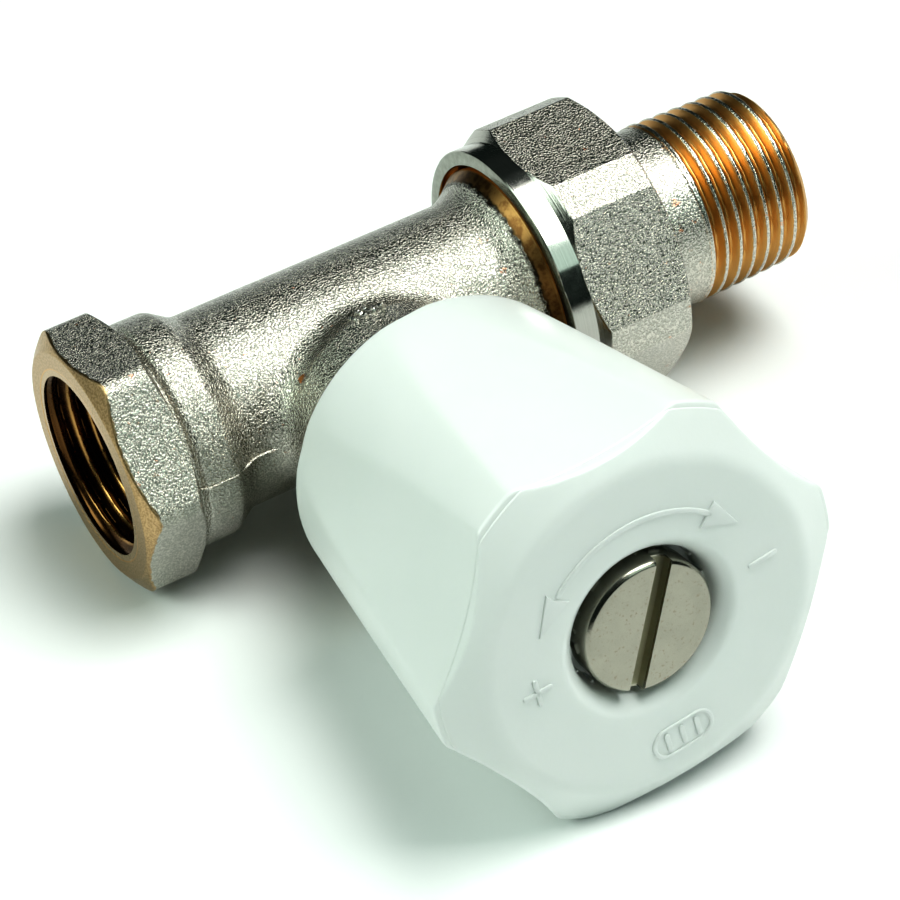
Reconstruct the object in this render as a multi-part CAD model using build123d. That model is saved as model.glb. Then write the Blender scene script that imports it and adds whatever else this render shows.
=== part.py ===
from build123d import *
from math import atan2, cos, degrees, radians
import os

# Straight manual radiator valve: forged body with a female pipe port, a union tail for the radiator,
# and a plastic handwheel on a rising spindle. Millimetres. The origin is the centre of the inlet
# port's mouth, +X runs along the pipe towards the radiator, and the spindle points along -Y.
#
# Every outline below is a list of (radius, height) corners about the part's own axis, and a third
# number rounds that corner. Heights run along the pipe from the inlet's mouth, or up the spindle
# from the pipe's axis.

# Pipe threads (1/2 inch, 14 threads per inch) and the union thread (3/4 inch)
PIPE_THREAD_R = 10.48
UNION_THREAD_R = 13.2
RUNNING_GAP = 0.06

# Inlet port, along the pipe axis
PORT_FLATS = 26.0
PORT_CORNER_R = 2.4
PORT_FACE_R = 12.7
PORT_HEX_END = 6.8
PORT_DEPTH = 11.0
MOUTH_R = 10.72
MOUTH_DEPTH = 0.25

# Body barrel, along the pipe axis
GROOVE_R = 11.9
COLLAR_R = 12.5
COLLAR_START = 7.9
COLLAR_END = 11.4
BARREL_R = 10.8
BARREL_START = 14.0
SHOULDER_START = 47.0
SHOULDER_R = 12.2
SHOULDER_END = 49.2
UNION_THREAD_START = 50.4
BODY_END = 59.3

# Waterways: the inlet runs below the seat and the outlet above it
INLET_WAY_R = 5.4
OUTLET_WAY_R = 4.8
WAY_OFFSET = 3.2
OUTLET_OFFSET = 3.8
OUTLET_WAY_START = 35.9
OUTLET_BORE_R = 8.0
OUTLET_BORE_START = 45.0
SOCKET_R = 8.7
SOCKET_START = 55.2

# Boss and seat, up the spindle axis
SPINDLE_X = 29.8
BOSS_ROOT_R = 7.0
BOSS_ROOT = 3.0
BOSS_R = 11.6
BOSS_SHOULDER = 12.0
BOSS_TOP = 20.0
BOSS_BLEND_R = 3.0
SEAT_BORE_R = 4.75
SEAT_LIP_R = 5.9
SEAT_TOP = 4.95
CHAMBER_R = 7.4
CHAMBER_FLOOR = 3.8
BONNET_THREAD_R = 9.45
BONNET_BORE_START = 13.0
BONNET_BOTTOM = 13.6
BONNET_SEAL_DEPTH = 1.3
BONNET_SEAL_R = 10.15
BONNET_SEAL_SECTION = 0.64

# Bonnet and gland
BONNET_FLATS = 22.0
BONNET_HEX_TOP = 26.0
BONNET_NECK_R = 8.5
BONNET_TOP = 38.0
BONNET_CAVITY_R = 6.6
BONNET_CAVITY_TOP = 20.3
INNER_THREAD_TOP = 28.0
INNER_RELIEF_R = 5.4
INNER_RELIEF_TOP = 30.0
PACKING_FLOOR = 31.0
PACKING_TOP = 32.4
FOLLOWER_TOP = 33.2
GLAND_R = 6.0
GLAND_FLATS = 14.0
GLAND_TOP = 42.0

# Spindle
SPINDLE_R = 4.0
SPINDLE_THREAD_R = 5.0
SPINDLE_THREAD_START = 18.0
SPINDLE_THREAD_END = 26.0
BACK_SEAT_R = 6.2
BACK_SEAT_START = 14.8
BACK_SEAT_END = 16.2
BUTTON_R = 3.4
BUTTON_START = 10.2
BUTTON_END = 12.0
BUTTON_NECK_R = 2.0
SQUARE_START = 43.0
SQUARE_TOP = 55.3
SQUARE_WIDTH = 6.0
TAPPED_R = 2.05
TAPPED_BOTTOM = 46.5
SPINDLE_SEAL_HEIGHTS = {"spindle_o_ring_lower": 34.8, "spindle_o_ring_upper": 37.6}
SPINDLE_SEAL_R = 3.3
SPINDLE_SEAL_SECTION = 0.72

# Disc at the seat
DISC_FLOOR = SEAT_TOP + 0.1
DISC_SEAL_R = 6.4
DISC_SEAL_TOP = 7.5
DISC_RIM_R = 7.0
DISC_PLATE_TOP = 9.5
DISC_HUB_R = 6.0
DISC_HUB_TOP = 14.5
SLOT_FLOOR = 10.0
SLOT_NECK_FLOOR = 12.2
DISC_SCREW_R = 2.0
DISC_SCREW_HEAD_R = 3.0
DISC_SCREW_BOTTOM = 3.0
DISC_WASHER_R = 4.2
DISC_WASHER_BOTTOM = 4.45

# Union nut
NUT_FLATS = 30.5
NUT_CORNERS = 32.8
NUT_TURN = 7.0
NUT_START = 50.3
SKIRT_R = 15.35
SKIRT_END = 53.0
NUT_END = 64.5
NUT_LIP = 2.0
NUT_LIP_R = 10.7
NUT_RELIEF_R = 13.6
NUT_RELIEF_START = 59.6

# Tailpiece
TAIL_NOSE_R = 8.6
TAIL_START = 55.7
TAIL_COLLAR_R = 12.7
TAIL_COLLAR_START = 59.5
TAIL_COLLAR_END = 62.3
TAIL_BARREL_R = 10.3
TAIL_THREAD_START = 70.6
TAIL_END = 83.8
TAIL_FACE_R = 9.0
TAIL_FACE_CHAMFER = 1.4
TAIL_BORE_R = 6.0
KEY_FLATS = 12.5
KEY_START = 70.0
TAIL_SEAL_R = 7.85
TAIL_SEAL_SECTION = 0.78
TAIL_SEAL_GROOVE_R = 7.0
TAIL_SEAL_AT = 57.6
TAIL_SEAL_GROOVE = 1.9

# Handwheel, up the spindle axis
WHEEL_TURN = 5.0
WHEEL_REAR = 22.5
WHEEL_FACE = 62.0
WHEEL_REAR_R = 16.8
WHEEL_FRONT_R = 22.1
WHEEL_WIDEST = 59.3
WHEEL_REAR_FLATS = 33.4
WHEEL_FRONT_FLATS = 38.9
WHEEL_HOLLOW_R = 40.0
WHEEL_FACE_R = 17.5
WHEEL_CAVITY_REAR_R = 14.9
WHEEL_CAVITY_TOP_R = 15.9
WHEEL_CAVITY_TOP = 59.2
HUB_R = 7.5
HUB_BOTTOM = SQUARE_START
HUB_CEILING = 55.5
SQUARE_GAP = 0.1
RECESS_R = 8.3
RECESS_FLOOR = 57.3
RECESS_WALL_R = 9.9
RIB_COUNT = 6
RIB_WIDTH = 1.4
RIB_BOTTOM = 47.0
SCREW_HEAD_R = 7.0
SCREW_HEAD_TOP = 61.9
SCREW_BOTTOM = 47.5
SCREW_SLOT_WIDTH = 1.7
SCREW_SLOT_DEPTH = 1.3
SCREW_SLOT_TURN = 69.0
WASHER_R = 6.0
WASHER_TOP = 58.1

# Each part is made about +Z and then put on its axis. +X of the parts on the pipe faces the
# handwheel, and +X of the parts on the spindle faces the radiator.
PIPE = Plane(origin=(0, 0, 0), x_dir=(0, -1, 0), z_dir=(1, 0, 0))
SPINDLE = Plane(origin=(SPINDLE_X, 0, 0), x_dir=(1, 0, 0), z_dir=(0, -1, 0))


def turned(outline):
    """Solid of revolution about +Z."""
    face = make_face(Polyline(*[corner[:2] for corner in outline], close=True))
    for corner in outline:
        if len(corner) == 3:
            nearest = face.vertices().sort_by_distance(Vector(corner[0], corner[1]))[0]
            face = fillet(nearest, corner[2])
    return revolve(Plane.XZ * face, Axis.Z)


def rod(radius, start, end, offset=0.0):
    """Cylinder along +Z, its axis moved towards +X."""
    bottom = (Align.CENTER, Align.CENTER, Align.MIN)
    return Pos(offset, 0, start) * Cylinder(radius, end - start, align=bottom)


def hex_bar(flats, start, end, corner_r=0.0, turn=0.0):
    """Hexagonal bar along +Z, a corner on +X unless it is turned, its corners rounded if asked."""
    outline = RegularPolygon(flats / 2, 6, major_radius=False, rotation=turn)
    if corner_r:
        outline = fillet(outline.vertices(), corner_r)
    return Pos(0, 0, start) * extrude(outline, end - start)


def square_bar(width, start, end):
    """Square bar along +Z."""
    bottom = (Align.CENTER, Align.CENTER, Align.MIN)
    return Pos(0, 0, start) * Box(width, width, end - start, align=bottom)


def ring(major, section, height):
    """O-ring about +Z."""
    return Pos(0, 0, height) * Torus(major, section)


def valve_body():
    """Forging with the inlet port, the barrel, the union thread and the bonnet boss."""
    reach = PORT_FLATS / 2 / cos(radians(30)) + 0.5
    port = hex_bar(PORT_FLATS, 0, PORT_HEX_END, PORT_CORNER_R) & turned([
        (0, 0), (PORT_FACE_R, 0), (reach, (reach - PORT_FACE_R) * 0.6),
        (reach, PORT_HEX_END - 1.3, 0.8), (PORT_FLATS / 2, PORT_HEX_END), (0, PORT_HEX_END)])
    barrel = turned([
        (0, 3), (GROOVE_R, 3), (GROOVE_R, COLLAR_START - 0.6, 0.3), (COLLAR_R, COLLAR_START, 0.6),
        (COLLAR_R, COLLAR_END, 1.4), (BARREL_R, BARREL_START, 2.4),
        (BARREL_R, SHOULDER_START, 4), (SHOULDER_R, SHOULDER_END, 0.2),
        (UNION_THREAD_R, UNION_THREAD_START), (UNION_THREAD_R, BODY_END - 0.8),
        (UNION_THREAD_R - 0.8, BODY_END), (0, BODY_END)])
    boss = turned([(0, 0), (BOSS_ROOT_R, 0), (BOSS_ROOT_R, BOSS_ROOT),
                   (BOSS_R, BOSS_SHOULDER, 1.5), (BOSS_R, BOSS_TOP, 0.4), (0, BOSS_TOP)])
    smooth_barrel = PIPE * barrel
    outside = smooth_barrel + SPINDLE * boss
    seam = [edge for edge in outside.edges()
            if abs((edge @ 0.5).X - SPINDLE_X) < BOSS_R + 1
            and abs(((edge @ 0.5).Y ** 2 + (edge @ 0.5).Z ** 2) ** 0.5 - BARREL_R) < 0.01
            and (edge @ 0.5).Y < -BOSS_ROOT]
    outside = fillet(seam, BOSS_BLEND_R) + PIPE * port

    along_pipe = (
        turned([(0, -1), (MOUTH_R, -1), (MOUTH_R, 0), (PIPE_THREAD_R, MOUTH_DEPTH),
                (PIPE_THREAD_R, PORT_DEPTH), (8.0, PORT_DEPTH + 1.4), (0, PORT_DEPTH + 1.4)])
        + rod(INLET_WAY_R, PORT_DEPTH, SPINDLE_X + SEAT_BORE_R, -WAY_OFFSET)
        + rod(OUTLET_WAY_R, OUTLET_WAY_START, OUTLET_BORE_START + 2, OUTLET_OFFSET)
        + turned([(0, OUTLET_BORE_START), (6.6, OUTLET_BORE_START),
                  (OUTLET_BORE_R, OUTLET_BORE_START + 1.4), (OUTLET_BORE_R, SOCKET_START),
                  (SOCKET_R, SOCKET_START), (SOCKET_R, BODY_END - 0.5),
                  (SOCKET_R + 0.5, BODY_END), (SOCKET_R + 0.5, BODY_END + 1), (0, BODY_END + 1)]))
    along_spindle = rod(SEAT_BORE_R, -WAY_OFFSET, SEAT_TOP) + turned([
        (0, SEAT_TOP), (SEAT_LIP_R - 0.4, SEAT_TOP), (SEAT_LIP_R, CHAMBER_FLOOR),
        (CHAMBER_R, CHAMBER_FLOOR), (CHAMBER_R, BONNET_BORE_START),
        (BONNET_THREAD_R + RUNNING_GAP, BONNET_BORE_START),
        (BONNET_THREAD_R + RUNNING_GAP, BOSS_TOP - BONNET_SEAL_DEPTH),
        (BONNET_SEAL_R + BONNET_SEAL_SECTION + RUNNING_GAP, BOSS_TOP - BONNET_SEAL_DEPTH),
        (BONNET_SEAL_R + BONNET_SEAL_SECTION + RUNNING_GAP, BOSS_TOP + 1), (0, BOSS_TOP + 1)])
    return outside - PIPE * along_pipe - SPINDLE * along_spindle


def bonnet():
    """Headwork screwed into the boss, which carries the spindle thread and the gland."""
    reach = BONNET_FLATS / 2 / cos(radians(30)) + 0.5
    hexed = hex_bar(BONNET_FLATS, BOSS_TOP, BONNET_HEX_TOP) & turned([
        (0, BOSS_TOP), (BONNET_FLATS / 2, BOSS_TOP), (reach, BOSS_TOP + 1.2),
        (reach, BONNET_HEX_TOP - 1.2), (BONNET_FLATS / 2, BONNET_HEX_TOP), (0, BONNET_HEX_TOP)])
    outside = hexed + turned([
        (0, BONNET_BOTTOM), (BONNET_THREAD_R - 0.6, BONNET_BOTTOM),
        (BONNET_THREAD_R, BONNET_BOTTOM + 0.6), (BONNET_THREAD_R, BONNET_HEX_TOP),
        (BONNET_NECK_R, BONNET_HEX_TOP), (BONNET_NECK_R, BONNET_TOP, 0.6), (0, BONNET_TOP)])
    inside = turned([
        (0, BONNET_BOTTOM - 1), (BONNET_CAVITY_R, BONNET_BOTTOM - 1),
        (BONNET_CAVITY_R, BONNET_CAVITY_TOP), (SPINDLE_THREAD_R + RUNNING_GAP, BONNET_CAVITY_TOP),
        (SPINDLE_THREAD_R + RUNNING_GAP, INNER_THREAD_TOP), (INNER_RELIEF_R, INNER_THREAD_TOP),
        (INNER_RELIEF_R, INNER_RELIEF_TOP), (SPINDLE_R + RUNNING_GAP, INNER_RELIEF_TOP),
        (SPINDLE_R + RUNNING_GAP, PACKING_FLOOR), (GLAND_R + RUNNING_GAP, PACKING_FLOOR),
        (GLAND_R + RUNNING_GAP, BONNET_TOP + 1), (0, BONNET_TOP + 1)])
    return outside - inside


def gland_nut():
    """Nut that presses the packing down round the spindle."""
    reach = GLAND_FLATS / 2 / cos(radians(30)) + 0.5
    head = hex_bar(GLAND_FLATS, BONNET_TOP, GLAND_TOP) & turned([
        (0, BONNET_TOP), (reach, BONNET_TOP), (reach, GLAND_TOP - 0.8),
        (GLAND_FLATS / 2, GLAND_TOP), (0, GLAND_TOP)])
    shank = turned([(0, FOLLOWER_TOP), (GLAND_R - 0.4, FOLLOWER_TOP), (GLAND_R, FOLLOWER_TOP + 0.4),
                    (GLAND_R, BONNET_TOP), (0, BONNET_TOP)])
    return head + shank - rod(SPINDLE_R + RUNNING_GAP, FOLLOWER_TOP - 1, GLAND_TOP + 1)


def gland_ring(bottom, top):
    """Ring that fills the packing space between two heights."""
    return rod(GLAND_R, bottom, top) - rod(SPINDLE_R + RUNNING_GAP, bottom - 1, top + 1)


def spindle():
    """Rising spindle: button for the disc, back seat, thread, sealed shank and square."""
    solid = turned([
        (0, BUTTON_START), (BUTTON_R, BUTTON_START, 0.3), (BUTTON_R, BUTTON_END, 0.3),
        (BUTTON_NECK_R, BUTTON_END), (BUTTON_NECK_R, BACK_SEAT_START),
        (BACK_SEAT_R, BACK_SEAT_START), (BACK_SEAT_R, BACK_SEAT_END), (SPINDLE_R, BACK_SEAT_END),
        (SPINDLE_R, SPINDLE_THREAD_START), (SPINDLE_THREAD_R, SPINDLE_THREAD_START + 0.8),
        (SPINDLE_THREAD_R, SPINDLE_THREAD_END - 0.8), (SPINDLE_R, SPINDLE_THREAD_END),
        (SPINDLE_R, SQUARE_START), (0, SQUARE_START)])
    solid += square_bar(SQUARE_WIDTH, SQUARE_START, SQUARE_TOP) & rod(SPINDLE_R, 0, SQUARE_TOP)
    for height in SPINDLE_SEAL_HEIGHTS.values():
        groove = rod(SPINDLE_R + 1, height - 1, height + 1)
        solid -= groove - rod(SPINDLE_SEAL_R - SPINDLE_SEAL_SECTION - 0.02, height - 1, height + 1)
    return solid - rod(TAPPED_R, TAPPED_BOTTOM, SQUARE_TOP + 1)


def disc_holder():
    """Disc carrier with a T-slot, open to one side, that hangs on the spindle's button."""
    solid = turned([
        (0, DISC_SEAL_TOP), (DISC_SEAL_R + 0.05, DISC_SEAL_TOP),
        (DISC_SEAL_R + 0.05, DISC_SEAL_TOP - 0.8), (DISC_RIM_R, DISC_SEAL_TOP - 0.8),
        (DISC_RIM_R, DISC_PLATE_TOP, 0.4), (DISC_HUB_R, DISC_PLATE_TOP),
        (DISC_HUB_R, DISC_HUB_TOP, 0.4), (0, DISC_HUB_TOP)])
    for radius, floor, ceiling in ((BUTTON_R + 0.2, SLOT_FLOOR, SLOT_NECK_FLOOR),
                                   (BUTTON_NECK_R + 0.2, SLOT_NECK_FLOOR, DISC_HUB_TOP + 1)):
        side = Pos(DISC_RIM_R / 2 + 1, 0, floor) * Box(
            DISC_RIM_R + 2, 2 * radius, ceiling - floor,
            align=(Align.CENTER, Align.CENTER, Align.MIN))
        solid -= rod(radius, floor, ceiling) + side
    return solid - rod(DISC_SCREW_R + 0.02, DISC_SEAL_TOP - 1, SLOT_FLOOR - 0.3)


def disc_seal():
    """Flat seat washer."""
    return rod(DISC_SEAL_R, DISC_FLOOR, DISC_SEAL_TOP) - rod(DISC_SCREW_R + 0.1, 0, DISC_SEAL_TOP + 1)


def disc_washer():
    """Plain washer under the disc screw's head."""
    return rod(DISC_WASHER_R, DISC_WASHER_BOTTOM, DISC_FLOOR) - rod(DISC_SCREW_R + 0.1, 0, DISC_FLOOR + 1)


def disc_screw():
    """Slotted screw that holds the seat washer."""
    head = turned([(0, DISC_SCREW_BOTTOM), (DISC_SCREW_HEAD_R, DISC_SCREW_BOTTOM, 0.4),
                   (DISC_SCREW_HEAD_R, DISC_WASHER_BOTTOM), (0, DISC_WASHER_BOTTOM)])
    slot = Pos(0, 0, DISC_SCREW_BOTTOM) * Box(4 * DISC_SCREW_HEAD_R, 0.8, 1.2)
    return head - slot + rod(DISC_SCREW_R, DISC_WASHER_BOTTOM, SLOT_FLOOR - 0.4)


def union_nut():
    """Hexagon nut with its corners cut flat and a turned skirt, captive behind the tail's collar."""
    reach = NUT_CORNERS / 2 / cos(radians(30))
    bar = (hex_bar(NUT_FLATS, NUT_START, NUT_END, turn=NUT_TURN)
           & hex_bar(NUT_CORNERS, NUT_START, NUT_END, turn=NUT_TURN + 30))
    outside = bar & turned([
        (0, NUT_START), (SKIRT_R, NUT_START, 0.25), (SKIRT_R, SKIRT_END),
        (reach, SKIRT_END + 0.84 * (reach - SKIRT_R)),
        (reach, NUT_END - 0.55 * (reach - NUT_FLATS / 2)), (NUT_FLATS / 2, NUT_END), (0, NUT_END)])
    thread_bore = UNION_THREAD_R + RUNNING_GAP
    inside = turned([
        (0, NUT_START - 1), (thread_bore + 0.5, NUT_START - 1), (thread_bore + 0.5, NUT_START),
        (thread_bore, NUT_START + 0.5), (thread_bore, NUT_RELIEF_START),
        (NUT_RELIEF_R, NUT_RELIEF_START), (NUT_RELIEF_R, NUT_END - NUT_LIP),
        (NUT_LIP_R, NUT_END - NUT_LIP), (NUT_LIP_R, NUT_END + 1), (0, NUT_END + 1)])
    return outside - inside


def tailpiece():
    """Union tail: sealed nose, collar for the nut, pipe thread and a hexagon bore for the key."""
    outside = turned([
        (0, TAIL_START), (TAIL_NOSE_R - 0.5, TAIL_START), (TAIL_NOSE_R, TAIL_START + 0.5),
        (TAIL_NOSE_R, TAIL_COLLAR_START), (TAIL_COLLAR_R, TAIL_COLLAR_START, 0.3),
        (TAIL_COLLAR_R, TAIL_COLLAR_END, 0.3), (TAIL_BARREL_R, TAIL_COLLAR_END),
        (TAIL_BARREL_R, TAIL_THREAD_START), (PIPE_THREAD_R, TAIL_THREAD_START + 0.3),
        (PIPE_THREAD_R, TAIL_END - TAIL_FACE_CHAMFER), (TAIL_FACE_R, TAIL_END), (0, TAIL_END)])
    groove = rod(TAIL_NOSE_R + 1, TAIL_SEAL_AT - TAIL_SEAL_GROOVE / 2,
                 TAIL_SEAL_AT + TAIL_SEAL_GROOVE / 2)
    groove -= rod(TAIL_SEAL_GROOVE_R, TAIL_START, TAIL_COLLAR_START)
    bore = rod(TAIL_BORE_R, TAIL_START - 1, KEY_START + 0.5)
    return outside - groove - bore - hex_bar(KEY_FLATS, KEY_START, TAIL_END + 1)


def handwheel():
    """Hollow handwheel: a cone with six slightly hollow flats, and a hub for the square."""
    shell = turned([
        (0, WHEEL_REAR), (WHEEL_REAR_R, WHEEL_REAR), (WHEEL_FRONT_R, WHEEL_WIDEST),
        (WHEEL_FACE_R, WHEEL_FACE), (0, WHEEL_FACE)])
    draft = degrees(atan2((WHEEL_FRONT_FLATS - WHEEL_REAR_FLATS) / 2, WHEEL_FACE - WHEEL_REAR))
    for number in range(6):
        hollow = Pos(WHEEL_REAR_FLATS / 2 + WHEEL_HOLLOW_R, 0, WHEEL_REAR) * Rot(0, draft, 0) \
            * Cylinder(WHEEL_HOLLOW_R, 3 * WHEEL_FACE)
        shell -= Rot(0, 0, number * 60 + 30 + WHEEL_TURN) * hollow
    shell -= turned([
        (0, WHEEL_REAR - 1), (WHEEL_CAVITY_REAR_R, WHEEL_REAR - 1),
        (WHEEL_CAVITY_REAR_R, WHEEL_REAR), (WHEEL_CAVITY_TOP_R, WHEEL_CAVITY_TOP, 2.0),
        (0, WHEEL_CAVITY_TOP)])
    shell += rod(HUB_R, HUB_BOTTOM, WHEEL_CAVITY_TOP + 1)
    shell += rod(RECESS_WALL_R, RECESS_FLOOR - 2, WHEEL_CAVITY_TOP + 1)
    for number in range(RIB_COUNT):
        inner = HUB_R - 1
        rib = Pos((inner + WHEEL_CAVITY_TOP_R) / 2, 0, RIB_BOTTOM) * Box(
            WHEEL_CAVITY_TOP_R - inner, RIB_WIDTH, WHEEL_CAVITY_TOP + 1 - RIB_BOTTOM,
            align=(Align.CENTER, Align.CENTER, Align.MIN))
        shell += Rot(0, 0, number * 360 / RIB_COUNT + WHEEL_TURN) * rib
    shell -= rod(RECESS_R, RECESS_FLOOR, WHEEL_FACE + 1)
    shell -= rod(TAPPED_R + 0.2, HUB_BOTTOM - 1, WHEEL_FACE)
    return shell - square_bar(SQUARE_WIDTH + SQUARE_GAP, HUB_BOTTOM - 1, HUB_CEILING)


def handwheel_washer():
    """Plain washer under the handwheel screw's head."""
    return rod(WASHER_R, RECESS_FLOOR, WASHER_TOP) - rod(TAPPED_R + 0.2, RECESS_FLOOR - 1, WASHER_TOP + 1)


def handwheel_screw():
    """Large-headed slotted screw that holds the handwheel on the square."""
    head = turned([(0, WASHER_TOP), (SCREW_HEAD_R, WASHER_TOP), (SCREW_HEAD_R, SCREW_HEAD_TOP, 0.4),
                   (0, SCREW_HEAD_TOP)])
    slot = Rot(0, 0, SCREW_SLOT_TURN) * Pos(0, 0, SCREW_HEAD_TOP) * Box(
        4 * SCREW_HEAD_R, SCREW_SLOT_WIDTH, 2 * SCREW_SLOT_DEPTH)
    return head - slot + rod(TAPPED_R - 0.05, SCREW_BOTTOM, WASHER_TOP)


parts_on_pipe = {
    "union_nut": union_nut(),
    "tailpiece": tailpiece(),
    "tailpiece_o_ring": ring(TAIL_SEAL_R, TAIL_SEAL_SECTION, TAIL_SEAL_AT),
}
parts_on_spindle = {
    "bonnet": bonnet(),
    "bonnet_o_ring": ring(BONNET_SEAL_R, BONNET_SEAL_SECTION, BOSS_TOP - BONNET_SEAL_SECTION - 0.01),
    "gland_nut": gland_nut(),
    "gland_follower": gland_ring(PACKING_TOP, FOLLOWER_TOP),
    "packing_ring": gland_ring(PACKING_FLOOR, PACKING_TOP),
    "spindle": spindle(),
    "disc_holder": disc_holder(),
    "disc_seal": disc_seal(),
    "disc_washer": disc_washer(),
    "disc_screw": disc_screw(),
    "handwheel": handwheel(),
    "handwheel_washer": handwheel_washer(),
    "handwheel_screw": handwheel_screw(),
}
for name, height in SPINDLE_SEAL_HEIGHTS.items():
    parts_on_spindle[name] = ring(SPINDLE_SEAL_R, SPINDLE_SEAL_SECTION, height)

nodes = {"valve_body": valve_body()}
nodes.update({name: PIPE * solid for name, solid in parts_on_pipe.items()})
nodes.update({name: SPINDLE * solid for name, solid in parts_on_spindle.items()})

os.makedirs("parts", exist_ok=True)
for name, solid in nodes.items():
    export_step(solid, f"parts/{name}.step")
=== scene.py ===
from math import cos, hypot, radians, sin, tau

import bmesh
import bpy
import numpy as np
from mathutils import Matrix, Quaternion, Vector


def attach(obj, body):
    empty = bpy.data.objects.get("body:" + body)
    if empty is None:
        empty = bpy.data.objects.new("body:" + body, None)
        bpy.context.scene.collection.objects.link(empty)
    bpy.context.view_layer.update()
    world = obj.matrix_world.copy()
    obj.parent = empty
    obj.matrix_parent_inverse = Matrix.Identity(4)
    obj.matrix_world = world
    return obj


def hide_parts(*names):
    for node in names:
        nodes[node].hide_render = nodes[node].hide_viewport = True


# Looks for the radiator valve. Lengths are in millimetres until a mesh is made, then in metres.
# Shapes on the pipe are given by (radius, x), and shapes on the spindle by (radius, height).

MM = 0.001
TURN = np.linspace(0, tau, 360, endpoint=False)

# Stations along the pipe are counted from the inlet's mouth, and heights along the spindle from the
# pipe's axis.
SPINDLE_X = 29.8
PORT_FACE_R = 12.7
BORE_DEPTH = 11.0
BOSS_TOP = 20.0
SHOULDER_END = 49.2
SKIRT_R, SKIRT_START, SKIRT_END = 15.35, 50.3, 53.0
NUT_FLATS_R, NUT_CORNERS_R, NUT_BORE_R, NUT_END = 15.25, 16.4, 13.75, 64.5
NUT_FLARE = 0.80
TAIL_BARREL_R, TAIL_END = 10.3, 83.8
PIPE_THREAD_R, PIPE_THREAD_START, PIPE_TAPER = 10.48, 70.35, 0.031
SCREW_R, SCREW_TOP, SLOT_WIDTH, SLOT_DEPTH = 7.0, 61.9, 1.7, 1.3
SLOT_TURN = radians(-69)

# Inside these radii a surface counts as a bore.
PORT_BORE_R, WATERWAY_R, TAIL_BORE_R = 10.9, 9.0, 8.65

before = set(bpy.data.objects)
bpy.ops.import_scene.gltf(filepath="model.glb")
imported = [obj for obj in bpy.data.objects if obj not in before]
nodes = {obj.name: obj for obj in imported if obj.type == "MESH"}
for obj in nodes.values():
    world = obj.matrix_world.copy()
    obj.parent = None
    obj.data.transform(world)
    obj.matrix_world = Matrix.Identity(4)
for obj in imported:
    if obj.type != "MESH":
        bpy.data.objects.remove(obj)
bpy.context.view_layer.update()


# ---------------------------------------------------------------- mesh helpers

def on_pipe(r, x, angle):
    """Points about the pipe's axis. Angle 0 faces the handwheel, and 90 degrees is up."""
    r, x, angle = np.broadcast_arrays(r, x, angle)
    return np.stack([x, -r * np.cos(angle), r * np.sin(angle)], -1)


def on_spindle(r, h, angle):
    """Points about the spindle's axis. Angle 0 faces the tailpiece, and 90 degrees is up."""
    r, h, angle = np.broadcast_arrays(r, h, angle)
    return np.stack([SPINDLE_X + r * np.cos(angle), -h, r * np.sin(angle)], -1)


def link(name, mesh, body, sharp=30.0):
    """Puts a finished mesh in the scene, riding on a CAD body."""
    tidy = bmesh.new()
    tidy.from_mesh(mesh)
    bmesh.ops.remove_doubles(tidy, verts=tidy.verts, dist=1e-7)
    bmesh.ops.recalc_face_normals(tidy, faces=tidy.faces)
    tidy.to_mesh(mesh)
    tidy.free()
    mesh.shade_smooth()
    mesh.set_sharp_from_angle(angle=radians(sharp))
    piece = bpy.data.objects.new(name, mesh)
    bpy.context.scene.collection.objects.link(piece)
    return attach(piece, body)


def mesh_of(name, points, faces):
    """A mesh in metres from points in millimetres."""
    mesh = bpy.data.meshes.new(name)
    mesh.from_pydata((np.asarray(points) * MM).tolist(), [], faces)
    return mesh


def skin(points):
    """Faces over a grid of rows of points. Rows are rings, and the last row joins the first."""
    rows, columns = points.shape[:2]
    index = np.arange(rows * columns).reshape(rows, columns)
    beside = np.roll(index, -1, 1)
    quads = np.stack([index, beside, np.roll(beside, -1, 0), np.roll(index, -1, 0)], -1)
    return quads.reshape(-1, 4).tolist()


def smooth_max(values, softness):
    """Largest of several fields, with a soft change from one to the next."""
    top = values[0]
    for value in values[1:]:
        blend = np.clip(0.5 + 0.5 * (value - top) / softness, 0, 1)
        top = top + (value - top) * blend + softness * blend * (1 - blend)
    return top


def cast(field, origin, direction, angle, reach):
    """Distances from (radius, height) origins, along directions, to where a field crosses zero."""
    near, far = np.zeros_like(angle), np.full_like(angle, reach)
    for _ in range(30):
        middle = (near + far) / 2
        inside = field(origin[0] + direction[0] * middle, origin[1] + direction[1] * middle, angle) < 0
        near, far = np.where(inside, middle, near), np.where(inside, far, middle)
    return near


def arc(centre, radius, start, end, steps):
    """(radius, height) points on an arc, its angles in degrees from the outward direction."""
    return [(centre[0] + radius * cos(radians(a)), centre[1] + radius * sin(radians(a)))
            for a in np.linspace(start, end, steps)]


# ---------------------------------------------------------------- material helpers

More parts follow.
